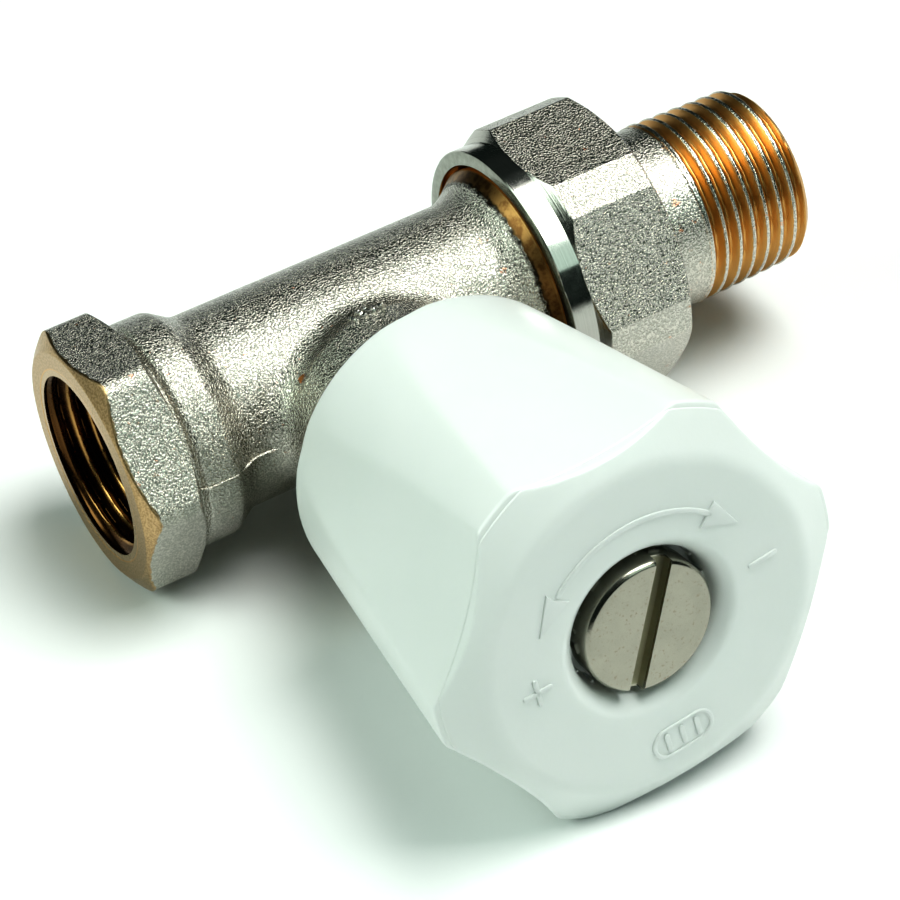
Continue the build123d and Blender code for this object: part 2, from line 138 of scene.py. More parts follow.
class Shader:
    """A Principled material, and the few nodes that the patterns below need."""

    def __init__(self, name, **settings):
        self.material = bpy.data.materials.new(name)
        self.material.use_nodes = True
        self.tree = self.material.node_tree
        self.principled = self.tree.nodes["Principled BSDF"]
        for socket, value in settings.items():
            self.principled.inputs[socket.replace("_", " ")].default_value = value
        self.coordinates = self.tree.nodes.new("ShaderNodeTexCoord").outputs["Object"]

    def node(self, kind, inputs=None, **attributes):
        """A new node with its inputs linked or set."""
        made = self.tree.nodes.new(kind)
        for attribute, value in attributes.items():
            setattr(made, attribute, value)
        for key, value in (inputs or {}).items():
            self.feed(made.inputs[key], value)
        return made

    def feed(self, socket, value):
        if isinstance(value, bpy.types.NodeSocket):
            self.tree.links.new(value, socket)
        else:
            socket.default_value = value

    def math(self, operation, first, second=0.0, clamp=False):
        return self.node("ShaderNodeMath", {0: first, 1: second}, operation=operation,
                         use_clamp=clamp).outputs[0]

    def plus(self, first, second):
        return self.math("ADD", first, second)

    def minus(self, first, second):
        return self.math("SUBTRACT", first, second)

    def times(self, first, second):
        return self.math("MULTIPLY", first, second)

    def most(self, first, *others):
        """The largest of several values."""
        for other in others:
            first = self.math("MAXIMUM", first, other)
        return first

    def noise(self, size_mm, detail=2.0, roughness=0.5, where=None):
        """Cloudy values about 0.5, with features of a size."""
        inputs = {"Vector": where or self.coordinates, "Scale": 1 / (size_mm * MM), "Detail": detail,
                  "Roughness": roughness}
        return self.node("ShaderNodeTexNoise", inputs).outputs["Fac"]

    def step(self, value, low, high):
        """0 on low's side and 1 on high's side, with a smooth change between. Low may be the larger."""
        inputs = {"Value": value, "From Min": low, "From Max": high}
        return self.node("ShaderNodeMapRange", inputs, interpolation_type="SMOOTHSTEP").outputs[0]

    def span(self, value, low, high):
        """A value from 0 to 1 stretched between two numbers."""
        return self.node("ShaderNodeMapRange", {"Value": value, "To Min": low, "To Max": high}).outputs[0]

    def mix(self, amount, first, second):
        """The first colour where the amount is 0, and the second where it is 1."""
        made = self.node("ShaderNodeMix", data_type="RGBA")
        self.feed(made.inputs["Factor"], amount)
        for socket, value in (("A", first), ("B", second)):
            target = [i for i in made.inputs if i.name == socket and i.type == "RGBA"][0]
            self.feed(target, value if isinstance(value, bpy.types.NodeSocket) else (*value, 1.0))
        return [o for o in made.outputs if o.type == "RGBA"][0]

    def place(self, axis):
        """The coordinates as x, y, z in millimetres, and the distance from the pipe's or spindle's axis."""
        split = self.node("ShaderNodeSeparateXYZ", {0: self.coordinates}).outputs
        x, y, z = (self.times(split[i], 1 / MM) for i in range(3))
        across = (y, z) if axis == "pipe" else (self.minus(x, SPINDLE_X), z)
        squares = [self.times(c, c) for c in across]
        return x, y, z, self.math("SQRT", self.plus(*squares))

    def rings(self, along, size_mm):
        """Fine turned lines that go round an axis."""
        where = self.node("ShaderNodeCombineXYZ", {0: self.times(along, MM)}).outputs[0]
        return self.noise(size_mm, detail=3.0, where=where)

    def bump(self, height, depth_mm, normal=None):
        """Normals as if the surface rose by a depth where the height is 1."""
        inputs = {"Height": height, "Distance": depth_mm * MM, "Strength": 1.0}
        if normal is not None:
            inputs["Normal"] = normal
        return self.node("ShaderNodeBump", inputs).outputs[0]

    def soften(self, radius_mm):
        """Normals as if the edges were rounded."""
        return self.node("ShaderNodeBevel", {"Radius": radius_mm * MM}, samples=6).outputs[0]

    def edge(self, radius_mm):
        """1 on sharp edges, and 0 on flat faces."""
        flat = self.node("ShaderNodeNewGeometry").outputs["Normal"]
        turned = self.node("ShaderNodeVectorMath", {0: self.soften(radius_mm), 1: flat},
                           operation="DOT_PRODUCT").outputs["Value"]
        return self.step(turned, 0.99, 0.86)

    def finish(self, colour, roughness=None, normal=None):
        """Feeds the shader and gives back its material."""
        for socket, value in (("Base Color", colour), ("Roughness", roughness), ("Normal", normal)):
            if value is not None:
                self.feed(self.principled.inputs[socket], value)
        return self.material


NICKEL = (0.69, 0.67, 0.615)
NICKEL_DARK = (0.42, 0.42, 0.38)
NICKEL_STAIN = (0.50, 0.46, 0.36)
BRASS = (0.72, 0.47, 0.20)
BRASS_DARK = (0.34, 0.18, 0.06)
BRASS_DULL = (0.52, 0.37, 0.205)
BRASS_DULL_DARK = (0.34, 0.235, 0.12)
COPPER = (0.80, 0.36, 0.17)
COPPER_DULL = (0.58, 0.27, 0.11)
# Dark brown for the brass cone under the nut's skirt: partly grime, partly painted shade.
SHADE_AND_GRIME = (0.13, 0.065, 0.025)
SOOT = (0.03, 0.025, 0.018)

# Where the plate is chipped, in millimetres.
CHIPS = [(20.8, -11.0, 7.0), (19.9, -11.8, 3.0)]


def blasted(shader, worn):
    """Colour, roughness and bump height of shot-blasted nickel plate, with copper where it is worn."""
    grain = shader.noise(0.23)
    height = shader.step(grain, 0.34, 0.66)
    stain = shader.noise(7.0, detail=3.0)
    colour = shader.mix(shader.step(grain, 0.56, 0.40), NICKEL, NICKEL_DARK)
    colour = shader.mix(shader.span(stain, 0.0, 0.30), colour, NICKEL_STAIN)
    specks = shader.step(shader.noise(1.3, detail=4.0, roughness=0.7), 0.665, 0.70)
    rubbed = shader.times(worn, shader.step(grain, 0.40, 0.62))
    bare = shader.math("ADD", rubbed, shader.times(specks, 0.5), clamp=True)
    colour = shader.mix(bare, colour, COPPER)
    return colour, shader.span(shader.noise(0.6), 0.13, 0.27), height


def machined_regions(s, x, y, r, ragged_x):
    """Where the body was cut: all of it, then its end inside the nut, then the port's bore."""
    chamfer = s.step(s.minus(s.times(s.minus(r, PORT_FACE_R), 0.6), ragged_x), -0.35, -0.15)
    face = s.most(s.times(chamfer, s.step(x, 3.2, 2.8)), s.step(x, 0.12, 0.06))
    end = s.step(ragged_x, SHOULDER_END - 0.05, SHOULDER_END + 0.1)
    port_bore = s.times(s.step(r, PORT_BORE_R, PORT_BORE_R - 0.05),
                        s.step(x, BORE_DEPTH + 2.0, BORE_DEPTH + 1.9))
    waterway = s.step(r, WATERWAY_R, WATERWAY_R - 0.05)
    boss_face = s.step(y, 0.07 - BOSS_TOP, 0.03 - BOSS_TOP)
    return s.most(face, end, port_bore, waterway, boss_face), end, port_bore


def chipped(s, colour, x, y, z, ragged):
    """A colour, with dull copper in the body's chips."""
    for chip in CHIPS:
        away = [s.minus(here, there) for here, there in zip((x, y, z), chip)]
        squares = [s.times(distance, distance) for distance in away]
        total = s.plus(squares[0], s.plus(squares[1], squares[2]))
        uneven = s.minus(total, s.times(ragged, 2.2))
        colour = s.mix(s.step(uneven, 0.38, 0.26), colour, COPPER_DULL)
    return colour


def body_material():
    """Blasted nickel outside, raw brass where the port, the thread and the bores were machined."""
    s = Shader("valve_body_nickel", Metallic=1.0)
    x, y, z, r = s.place("pipe")
    wear = s.times(s.edge(0.35), s.step(s.noise(2.2, detail=3.0), 0.52, 0.66))
    nickel, rough, grain = blasted(s, wear)
    ragged = s.times(s.minus(s.noise(0.9, detail=3.0), 0.5), 0.7)
    ragged_x = s.plus(x, ragged)
    machined, end, port_bore = machined_regions(s, x, y, r, ragged_x)

    lines = s.rings(x, 0.11)
    turned = s.mix(s.span(lines, 0.0, 0.8), BRASS, BRASS_DARK)
    dull = s.mix(s.step(s.noise(0.22), 0.38, 0.64), BRASS_DULL, BRASS_DULL_DARK)
    brass = s.mix(s.most(end, port_bore), dull, turned)
    # Painted shade with grime: the brass cone under the nut's skirt darkens in streaks towards near-black
    # brown, as in the nut's shadow.
    shade_and_grime_streaks = s.step(s.noise(1.4, detail=4.0, roughness=0.65), 0.40, 0.62)
    cone = s.times(end, s.step(x, 50.6, 50.2))
    brass = s.mix(s.times(cone, s.span(shade_and_grime_streaks, 0.66, 0.97)), brass, SHADE_AND_GRIME)

    colour = chipped(s, s.mix(machined, nickel, brass), x, y, z, ragged)
    rim = s.times(s.step(ragged_x, SHOULDER_END - 0.40, SHOULDER_END - 0.15),
                  s.step(ragged_x, SHOULDER_END + 0.35, SHOULDER_END + 0.10))
    colour = s.mix(s.times(rim, s.span(shade_and_grime_streaks, 1.0, 0.3)), colour, SOOT)
    height = s.plus(s.times(grain, s.minus(1.0, machined)), s.times(lines, s.times(machined, 0.6)))
    roughness = s.plus(rough, s.times(machined, 0.12))
    return s.finish(colour, roughness, s.bump(height, 0.062, s.soften(0.3)))


def nut_material():
    """Blasted flats, a bright turned skirt and raw brass inside."""
    s = Shader("union_nut_nickel", Metallic=1.0)
    x, y, z, r = s.place("pipe")
    wear = s.times(s.edge(0.4), s.step(s.noise(1.6, detail=3.0), 0.50, 0.60))
    nickel, rough, grain = blasted(s, wear)

    flare = s.minus(s.plus(SKIRT_END, s.times(s.minus(r, SKIRT_R), NUT_FLARE)), x)
    chamfer = s.plus(x, s.times(s.minus(r, NUT_FLATS_R), 0.577))
    skirt = s.times(s.step(x, SKIRT_END + 0.02, SKIRT_END - 0.02), s.step(r, 15.31, 15.335))
    annulus = s.step(x, SKIRT_START + 0.1, SKIRT_START + 0.05)
    turned = s.most(skirt, s.step(flare, -0.06, 0.0), s.step(chamfer, NUT_END - 0.08, NUT_END - 0.02),
                    annulus)
    inside = s.step(r, NUT_BORE_R, NUT_BORE_R - 0.05)

    lines = s.rings(x, 0.13)
    bright = s.mix(s.span(lines, 0.0, 0.7), (0.60, 0.59, 0.55), (0.24, 0.24, 0.215))
    dull = s.mix(s.noise(0.8), (0.36, 0.38, 0.33), (0.16, 0.17, 0.14))
    brass = s.mix(s.span(lines, 0.0, 0.9), BRASS, BRASS_DARK)
    colour = s.mix(turned, nickel, bright)
    # The nut's rear face, towards the body, is coloured a darker grey-green than the skirt.
    colour = s.mix(s.step(x, SKIRT_START + 0.1, SKIRT_START + 0.06), colour, dull)
    colour = s.mix(inside, colour, brass)

    smooth = s.most(turned, inside)
    height = s.plus(s.times(grain, s.minus(1.0, smooth)), s.times(lines, s.times(smooth, 0.16)))
    roughness = s.minus(rough, s.times(smooth, 0.04))
    return s.finish(colour, roughness, s.bump(height, 0.056, s.soften(0.10)))


def tail_material():
    """Blasted barrel, brass thread flanks and plated crests."""
    s = Shader("tailpiece_nickel", Metallic=1.0)
    x, y, z, r = s.place("pipe")
    wear = s.times(s.step(s.noise(1.9, detail=3.0), 0.62, 0.68), 0.8)
    nickel, rough, grain = blasted(s, wear)

    taper = s.minus(PIPE_THREAD_R - 0.02, s.times(s.minus(x, 71.0), PIPE_TAPER))
    ragged = s.times(s.minus(s.noise(0.5, detail=3.0), 0.5), 0.16)
    crest = s.step(s.minus(s.plus(r, ragged), taper), -0.14, -0.08)
    threaded = s.step(x, PIPE_THREAD_START + 0.05, PIPE_THREAD_START + 0.15)
    inside = s.step(r, TAIL_BORE_R, TAIL_BORE_R - 0.05)
    cut = s.most(s.times(threaded, s.minus(1.0, crest)), inside)
    collar = s.step(x, 62.4, 62.3)

    lines = s.rings(s.plus(r, s.times(x, 0.2)), 0.10)
    brass = s.mix(s.span(lines, 0.0, 0.9), (0.74, 0.43, 0.155), (0.42, 0.22, 0.075))
    colour = s.mix(cut, nickel, brass)
    smooth = s.most(cut, collar, s.times(threaded, 0.6))
    height = s.plus(s.times(grain, s.minus(1.0, smooth)), s.times(lines, s.times(smooth, 0.22)))
    roughness = s.plus(rough, s.times(cut, 0.12))
    return s.finish(colour, roughness, s.bump(height, 0.045))


def port_thread_material():
    """Raw brass of the inlet thread, painted near black as shade in the bore, brighter on crests and at its
    mouth.
    """
    s = Shader("inlet_thread_brass", Metallic=1.0)
    x, y, z, r = s.place("pipe")
    lines = s.rings(s.plus(r, s.times(x, 0.3)), 0.14)
    crest = s.step(r, 9.75, 9.42)
    mouth = s.step(x, 0.30, 0.20)
    # Painted shade: the thread's flanks and roots are near black, as deep in the bore; crests and mouth keep
    # a brass colour.
    colour = s.mix(s.span(lines, 0.0, 1.0), (0.20, 0.10, 0.038), (0.04, 0.022, 0.010))
    colour = s.mix(crest, colour, (0.50, 0.29, 0.11))
    colour = s.mix(mouth, colour, (0.46, 0.33, 0.18))
    return s.finish(colour, s.span(s.noise(0.8), 0.18, 0.34), s.bump(lines, 0.012))


def turned_material(name, light, dark, axis, low=0.20, high=0.34):
    """Turned metal with fine rings about an axis."""
    s = Shader(name, Metallic=1.0)
    x, y, z, r = s.place(axis)
    along = x if axis == "pipe" else y
    lines = s.rings(s.plus(along, s.times(r, 0.9)), 0.16)
    cloud = s.noise(2.4, detail=3.0)
    colour = s.mix(s.span(s.times(s.plus(lines, cloud), 0.5), 0.0, 1.0), light, dark)
    return s.finish(colour, s.span(cloud, low, high), s.bump(lines, 0.010, s.soften(0.12)))


def screw_material():
    """Bright nickel with a slightly uneven face and a duller slot."""
    s = Shader("handwheel_screw_nickel", Metallic=1.0)
    x, y, z, r = s.place("spindle")
    cloud = s.noise(2.6, detail=4.0, roughness=0.6)
    fine = s.noise(0.30, detail=3.0)
    slot = s.times(s.step(y, 0.3 - SCREW_TOP, 0.5 - SCREW_TOP), s.step(r, SCREW_R - 0.1, SCREW_R - 0.3))
    colour = s.mix(s.span(cloud, 0.0, 0.8), (0.42, 0.40, 0.34), (0.27, 0.265, 0.225))
    colour = s.mix(s.step(fine, 0.60, 0.72), colour, (0.30, 0.26, 0.21))
    colour = s.mix(s.times(slot, 0.85), colour, (0.40, 0.385, 0.28))
    height = s.plus(s.times(cloud, 0.8), s.times(fine, 0.2))
    roughness = s.plus(s.span(fine, 0.15, 0.30), s.times(slot, 0.25))
    return s.finish(colour, roughness, s.bump(height, 0.030))


def plastic_material():
    """Semi-gloss white moulded plastic with faint mottling and a few specks."""
    s = Shader("handwheel_white_plastic", IOR=1.49, Subsurface_Weight=0.15, Subsurface_Scale=0.002,
               Subsurface_Radius=(1.0, 1.0, 0.9), Coat_Weight=0.12, Coat_Roughness=0.18)
    cloud = s.noise(9.0)
    specks = s.step(s.noise(1.7, detail=5.0, roughness=0.75), 0.735, 0.76)
    colour = s.mix(s.span(cloud, 0.0, 1.0), (0.835, 0.865, 0.845), (0.80, 0.845, 0.82))
    colour = s.mix(s.times(specks, 0.45), colour, (0.50, 0.47, 0.42))
    skin_grain = s.plus(s.noise(0.5), s.times(s.noise(4.0), 1.5))
    return s.finish(colour, s.span(s.noise(1.1, detail=3.0), 0.30, 0.40), s.bump(skin_grain, 0.006))


def soft_material(name, light, dark, low, high, grain_mm):
    """Rubber or PTFE: matt, with fine moulded grain."""
    s = Shader(name, IOR=1.45)
    grain = s.noise(grain_mm, detail=3.0)
    colour = s.mix(s.span(s.noise(1.8, detail=3.0), 0.0, 1.0), light, dark)
    return s.finish(colour, s.span(grain, low, high), s.bump(grain, 0.015))


def dress(piece, material):
    """Gives every slot of a piece one material."""
    piece.data.materials.clear()
    piece.data.materials.append(material)
    return piece


# ---------------------------------------------------------------- handwheel

WHEEL_TURN = radians(5.0)
WHEEL_REAR, WHEEL_WIDEST, WHEEL_FACE = 22.5, 59.3, 62.0
WHEEL_REAR_R, WHEEL_FRONT_R, WHEEL_FACE_R = 16.8, 22.1, 17.5
CONE_GROWTH = (WHEEL_FRONT_R - WHEEL_REAR_R) / (WHEEL_WIDEST - WHEEL_REAR)
FLATS_REAR_R, FLATS_FACE_R = 16.7, 19.45
FLATS_GROWTH = (FLATS_FACE_R - FLATS_REAR_R) / (WHEEL_FACE - WHEEL_REAR)
HOLLOW_R = 40.0
PARTING = 59.55


def wheel_field(r, h, angle):
    """Below zero inside the wheel's outline: a cone with six hollow flats and a chamfered front."""
    cone = r - np.minimum(WHEEL_REAR_R + (h - WHEEL_REAR) * CONE_GROWTH, WHEEL_FRONT_R - 0.04)
    axis = FLATS_REAR_R + (h - WHEEL_REAR) * FLATS_GROWTH + HOLLOW_R
    flats = [HOLLOW_R - np.hypot(axis - r * np.cos(a), r * np.sin(a))
             for a in (angle - WHEEL_TURN - radians(30 + 60 * k) for k in range(6))]
    run, drop = WHEEL_FRONT_R - WHEEL_FACE_R, WHEEL_FACE - WHEEL_WIDEST
    front = ((r - WHEEL_FACE_R) * drop + (h - WHEEL_FACE) * run) / hypot(run, drop)
    side = smooth_max([np.max(flats, 0), cone], 0.30)
    ends = smooth_max([front, h - WHEEL_FACE, WHEEL_REAR - h], 0.45)
    return smooth_max([side, ends], 0.22)


def make_handwheel():
    """Shell, recess, hub and cavity of the handwheel as one closed skin."""
    rows = []
    full = np.ones_like(TURN)

    def shoot(r, h, direction):
        """Adds the row where rays from (r, h) leave the wheel's outline."""
        far = cast(wheel_field, (full * r, full * h), direction, TURN, 20.0)
        rows.append((full * r + direction[0] * far, full * h + direction[1] * far))

    for a in np.linspace(-88, 0, 12, endpoint=False):
        shoot(15.9, 23.6, (cos(radians(a)), sin(radians(a))))
    heights = [np.linspace(23.6, 57.0, 46), np.arange(57.2, 59.25, 0.15), np.arange(59.3, 59.85, 0.05),
               np.arange(59.9, 61.2, 0.10)]
    for h in np.concatenate(heights):
        shoot(8.0, h, (1.0, 0.0))
        groove = 0.15 * np.exp(-((h - PARTING) / 0.07) ** 2)
        rows[-1] = (rows[-1][0] - groove, rows[-1][1])
    for a in np.linspace(2, 90, 18):
        shoot(16.2, 61.2, (cos(radians(a)), sin(radians(a))))

    recess = [(r, WHEEL_FACE) for r in (15.0, 13.5, 12.0, 10.8, 9.8)]
    recess += [(9.5, 61.97), (9.2, 61.84), (8.9, 61.62), (8.5, 61.25), (8.2, 60.92), (7.98, 60.55),
               (7.85, 60.1), (7.78, 59.2), (7.74, 58.2), (7.72, 57.6)]
    recess += arc((7.42, 57.6), 0.3, 0, -90, 5) + [(6.4, 57.3), (4.4, 57.3), (2.3, 57.3), (2.3, 55.6)]
    rows += [(full * r, full * h) for r, h in recess]
    square = 3.05 / np.maximum(np.abs(np.cos(TURN)), np.abs(np.sin(TURN)))
    rows += [(square, full * h) for h in (55.5, 49.0, 43.0)]
    cavity = [(6.9, 43.0), (7.4, 43.2), (7.5, 43.6), (7.5, 49.0), (7.5, 54.8), (8.0, 55.3), (9.5, 55.3),
              (9.9, 55.7), (9.9, 58.6), (10.5, 59.2), (12.5, 59.2)]
    cavity += arc((13.8, 57.2), 2.0, 90, 3, 8) + [(15.5, 52.0), (15.3, 42.0), (15.1, 32.0), (14.95, 24.5)]
    cavity += arc((15.3, 22.95), 0.42, 180, 260, 5)
    rows += [(full * r, full * h) for r, h in cavity]

    points = np.stack([on_spindle(r, h, TURN) for r, h in rows])
    wheel = link("handwheel_shell", mesh_of("handwheel_shell", points.reshape(-1, 3), skin(points)),
                 "wheel", sharp=40.0)
    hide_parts("handwheel")
    return wheel


def bar(corners, bottom, top, bevel, to_world):
    """A raised flat-topped mark: an outline in millimetres, drawn in to its top edge."""
    outline = np.array(corners, float)
    middle = outline.mean(0)
    before, after = np.roll(outline, 1, 0), np.roll(outline, -1, 0)
    edge_in, edge_out = outline - before, after - outline
    edge_in /= np.linalg.norm(edge_in, axis=1)[:, None]
    edge_out /= np.linalg.norm(edge_out, axis=1)[:, None]
    normal = np.stack([-(edge_in + edge_out)[:, 1], (edge_in + edge_out)[:, 0]], 1)
    normal /= np.linalg.norm(normal, axis=1)[:, None]
    flip = np.sign(((middle - outline) * normal).sum())
    half = np.sqrt(np.clip((1 + (edge_in * edge_out).sum(1)) / 2, 0.2, 1))[:, None]
    levels = [(0.0, bottom), (0.0, top - bevel), (bevel * 0.35, top - bevel * 0.3), (bevel, top)]
    points, faces, count = [], [], len(outline)
    for inset, height in levels:
        ring = outline + flip * normal * inset / half
        points += [to_world(p, height) for p in ring]
    for level in range(len(levels) - 1):
        for i in range(count):
            j = (i + 1) % count
            faces.append([level * count + i, level * count + j,
                          (level + 1) * count + j, (level + 1) * count + i])
    faces.append(list(range(count)))
    faces.append([(len(levels) - 1) * count + i for i in range(count)])
    return points, faces


def face_point(p, height):
    """A point of the wheel's front face, x to the tailpiece and y up, at a height up the spindle."""
    return (SPINDLE_X + p[0], -height, p[1])


def polar(r, degrees):
    """A flat point, its angle in degrees from the tailpiece's side."""
    return np.array([r * cos(radians(degrees)), r * sin(radians(degrees))])


def stroke(path, width):
    """Outline of a band of one width along a path, with rounded ends."""
    path = np.array(path, float)
    along = np.gradient(path, axis=0)
    along /= np.linalg.norm(along, axis=1)[:, None]
    side = np.stack([-along[:, 1], along[:, 0]], 1) * width / 2
    first = [path[0] - along[0] * width / 2 * sin(a) - side[0] * cos(a) for a in np.linspace(0.6, 2.5, 4)]
    last = [path[-1] + along[-1] * width / 2 * sin(a) + side[-1] * cos(a) for a in np.linspace(0.6, 2.5, 4)]
    return list(path + side) + last + list((path - side)[::-1]) + first


def make_marks():
    """Raised two-headed arrow, plus, minus and a rim round three plain bars, on the wheel's face."""
    shapes = [stroke([polar(12.2, a) for a in np.linspace(137, 51, 40)], 0.62)]
    shapes.append([polar(12.75, 34), polar(13.5, 52), polar(10.6, 52.5)])
    shapes.append([polar(12.5, 158), polar(13.6, 138.5), polar(12.45, 139.5), polar(10.75, 137.5)])
    shapes.append(stroke([polar(r, 8) for r in np.linspace(11.4, 14.2, 6)], 0.55))
    centre = polar(12.7, 185)
    for direction in (polar(1.35, 5), polar(1.35, 95)):
        shapes.append(stroke([centre + direction * t for t in np.linspace(-1, 1, 6)], 0.55))
    badge = polar(13.7, -83)
    along, up = polar(1.0, 7), polar(1.0, 97)
    rim = [badge + along * (np.sign(cos(a)) * 1.75 + 1.75 * cos(a)) + up * 1.75 * sin(a)
           for a in np.linspace(0.05, tau + 0.05, 36, endpoint=False)]
    shapes += [stroke([badge + along * offset + up * t for t in np.linspace(-0.85, 0.85, 6)], 0.62)
               for offset in (-1.7, 0.0, 1.7)]
    points, faces = [], []
    for shape in shapes:
        extra, more = bar(shape, WHEEL_FACE - 0.10, WHEEL_FACE + 0.20, 0.14, face_point)
        faces += [[i + len(points) for i in face] for face in more]
        points += extra
    inner = np.array(rim)
    inward = badge - inner
    inward /= np.linalg.norm(inward, axis=1)[:, None]
    profile = [(0.0, -0.10), (0.0, 0.10), (0.12, 0.19), (0.34, 0.19), (0.46, 0.10), (0.46, -0.10)]
    grid = np.array([[face_point(p + q * inset, WHEEL_FACE + rise) for p, q in zip(inner, inward)]
                     for inset, rise in profile])
    faces += [[i + len(points) for i in face] for face in skin(grid)]
    points += list(grid.reshape(-1, 3))
    return link("handwheel_marks", mesh_of("handwheel_marks", points, faces), "wheel", sharp=35.0)


def make_wheel_ribs():
    """Stiffening ribs in the wheel's cavity and small grip ticks on the recess wall."""
    points, faces = [], []

    def block(angle, r0, r1, half, h0, h1, draft):
        along, side = polar(1.0, angle), polar(1.0, angle + 90)
        lower = [along * r0 - side * (half - draft), along * r1 - side * (half - draft),
                 along * r1 + side * (half - draft), along * r0 + side * (half - draft)]
        upper = [along * r0 - side * half, along * r1 - side * half,
                 along * r1 + side * half, along * r0 + side * half]
        start = len(points)
        points.extend([face_point(p, h0) for p in lower] + [face_point(p, h1) for p in upper])
        faces.extend([[start + i for i in face] for face in
                      ([0, 1, 2, 3], [4, 5, 6, 7], [0, 1, 5, 4], [1, 2, 6, 5], [2, 3, 7, 6], [3, 0, 4, 7])])

    for number in range(6):
        block(5.0 + 60 * number, 7.2, 15.6, 0.7, 47.0, 59.3, 0.12)
    for number in range(20):
        block(9 + 18 * number, 7.50, 8.0, 0.13, 57.25, 58.9, -0.03)
    mesh = mesh_of("handwheel_ribs", points, faces)
    soft = bmesh.new()
    soft.from_mesh(mesh)
    bmesh.ops.recalc_face_normals(soft, faces=soft.faces)
    bmesh.ops.bevel(soft, geom=soft.edges[:], offset=0.12 * MM, segments=2, profile=0.7, affect="EDGES")
    soft.to_mesh(mesh)
    soft.free()
    return link("handwheel_ribs", mesh, "wheel")


def make_screw():
    """Wide slotted screw head with a bevelled rim, on its shank."""
    angle = np.linspace(0, tau, 180, endpoint=False)
    ring = [(0.02, 47.5), (1.7, 47.5), (2.0, 47.8), (2.0, 58.1), (6.6, 58.1), (6.95, 58.3), (SCREW_R, 58.6),
            (SCREW_R, 61.4), (6.98, 61.5), (6.68, 61.84), (6.58, 61.88)]
    ring += [(r, SCREW_TOP) for r in (6.4, 5.2, 3.2, 0.02)]
    points = np.stack([on_spindle(r, h, angle) for r, h in ring])
    blank = bpy.data.objects.new("blank", mesh_of("blank", points.reshape(-1, 3), skin(points)))
    cutter_mesh = bpy.data.meshes.new("cutter")
    shape = bmesh.new()
    place = Matrix.Translation(Vector((SPINDLE_X, -SCREW_TOP, 0)) * MM)
    turn = Matrix.Rotation(SLOT_TURN, 4, "Y")
    stretch = Matrix.Diagonal(Vector((20, 2 * SLOT_DEPTH, SLOT_WIDTH, 1 / MM)) * MM)
    bmesh.ops.create_cube(shape, size=1.0, matrix=place @ turn @ stretch)
    shape.to_mesh(cutter_mesh)
    shape.free()
    cutter = bpy.data.objects.new("cutter", cutter_mesh)
    for thing in (blank, cutter):
        bpy.context.scene.collection.objects.link(thing)
        fix = bmesh.new()
        fix.from_mesh(thing.data)
        bmesh.ops.remove_doubles(fix, verts=fix.verts, dist=1e-7)
        bmesh.ops.recalc_face_normals(fix, faces=fix.faces)
        fix.to_mesh(thing.data)
        fix.free()
    cut = blank.modifiers.new("slot", "BOOLEAN")
    cut.operation, cut.object, cut.solver = "DIFFERENCE", cutter, "EXACT"
    worn = blank.modifiers.new("worn", "BEVEL")
    worn.width, worn.segments, worn.limit_method, worn.angle_limit = 0.13 * MM, 3, "ANGLE", radians(50)
    done = bpy.data.meshes.new_from_object(blank.evaluated_get(bpy.context.evaluated_depsgraph_get()))
    for thing in (blank, cutter):
        bpy.data.objects.remove(thing)
    screw = link("handwheel_screw_head", done, "wheel", sharp=40.0)
    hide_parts("handwheel_screw")
    return screw


# ---------------------------------------------------------------- threads

PITCH = 25.4 / 14
THREAD_TURN = np.linspace(0, tau, 288, endpoint=False)


def tooth(phase, flat):
    """Height from 0 to 1 of a thread's profile, with a flat crest and a rounded root."""
    distance = np.abs((phase + 0.5) % 1.0 - 0.5) * 2
    down = np.clip((distance - flat) / (1 - flat - 0.08), 0, 1)
    return 1 - (down - 0.18 * np.sin(down * tau) / tau)


def make_tailpiece():
    """Union tail with its cut pipe thread, collar, sealed nose and hexagon bore."""
    full = np.ones_like(THREAD_TURN)
    ring = [(6.0, 55.7), (7.9, 55.7), (8.35, 55.95), (8.6, 56.4), (8.6, 56.65), (7.0, 56.7), (7.0, 58.5),
            (8.6, 58.55), (8.6, 59.5), (12.3, 59.5)] + arc((12.4, 59.8), 0.3, -90, 0, 4)
    ring += arc((12.4, 62.0), 0.3, 0, 90, 4) + [(10.6, 62.3), (10.32, 62.5), (TAIL_BARREL_R, 62.9)]
    ring += [(TAIL_BARREL_R, x) for x in np.linspace(63.4, 70.2, 12)]
    rows = [(full * r, full * x) for r, x in ring]

    for x in np.arange(PIPE_THREAD_START, TAIL_END + 0.05, 0.09):
        crest = PIPE_THREAD_R - max(0.0, x - 71.5) * PIPE_TAPER
        depth = 0.92 * np.clip((x - PIPE_THREAD_START - 0.1) / 0.8, 0, 1)
        r = crest - depth * (1 - tooth((x - THREAD_TURN / tau * PITCH) / PITCH, 0.09))
        blank = TAIL_BARREL_R + (crest - TAIL_BARREL_R) * np.clip((x - PIPE_THREAD_START) / 0.3, 0, 1)
        chamfer = 9.2 + (TAIL_END - x) * 0.95
        rows.append((-smooth_max([-np.minimum(r, blank), -full * chamfer], 0.12), full * x))

    flats = np.max([np.cos(THREAD_TURN - radians(30 + 60 * k)) for k in range(6)], 0)
    key = np.minimum(6.25 / flats, 7.1)
    rows += [(full * 8.9, full * TAIL_END), (full * 7.6, full * TAIL_END), (key + 0.25, full * TAIL_END)]
    rows += [(key, full * x) for x in (TAIL_END - 0.3, 80.0, 76.0, 72.0, 70.0)]
    rows += [(full * 6.0, full * x) for x in (69.9, 66.0, 62.0, 58.0)]
    points = np.stack([on_pipe(r, x, THREAD_TURN) for r, x in rows])
    tail = link("tailpiece_threaded", mesh_of("tailpiece_threaded", points.reshape(-1, 3), skin(points)),
                "tail", sharp=38.0)
    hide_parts("tailpiece")
    return tail


